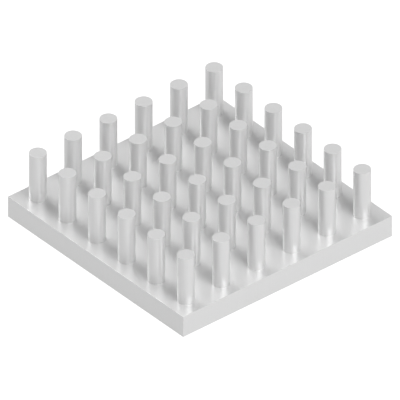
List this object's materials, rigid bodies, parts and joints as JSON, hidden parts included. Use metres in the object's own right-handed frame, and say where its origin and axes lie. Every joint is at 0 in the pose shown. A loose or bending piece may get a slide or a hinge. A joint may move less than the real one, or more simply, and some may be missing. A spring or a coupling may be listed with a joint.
{
  "type": "pin fin heat sink",
  "caption": "Square heat sink: a flat base with a square field of short round pins, forged in one piece, that carries heat from a chip on its underside into moving air.",
  "frame": {"origin": "centre of the base's flat underside", "axes": "+Z from the underside up the pins; X and Y along the sides of the base"},
  "size_m": [0.05, 0.05, 0.0147],
  "materials": {
    "bare_aluminium": "bright bare aluminium, smooth as forged, with soft reflections"
  },
  "bodies": {
    "root": {"heat_sink": "bare_aluminium"}
  },
  "joints": []
}
